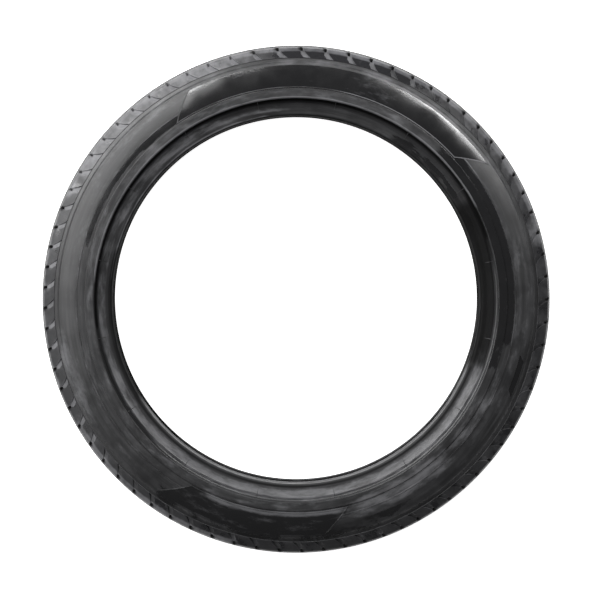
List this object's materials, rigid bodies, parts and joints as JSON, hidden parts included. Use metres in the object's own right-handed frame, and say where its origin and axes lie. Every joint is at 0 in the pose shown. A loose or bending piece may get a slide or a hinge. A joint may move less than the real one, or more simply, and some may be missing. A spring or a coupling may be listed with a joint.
{
  "type": "car tyre",
  "caption": "Low-profile car tyre moulded in one piece, with straight tread grooves, cross grooves over both shoulders, rim protectors and two beads round an open middle.",
  "frame": {"origin": "middle of the tyre, on its axis and half way between its two sides", "axes": "+Z along the tyre's axis, out of the side that faces up when it lies flat; +Y to the top of the pictured side"},
  "size_m": [0.7006, 0.7002, 0.278],
  "materials": {
    "rubber_black": "satin"
  },
  "bodies": {
    "root": {"tyre": "rubber_black"}
  },
  "joints": []
}
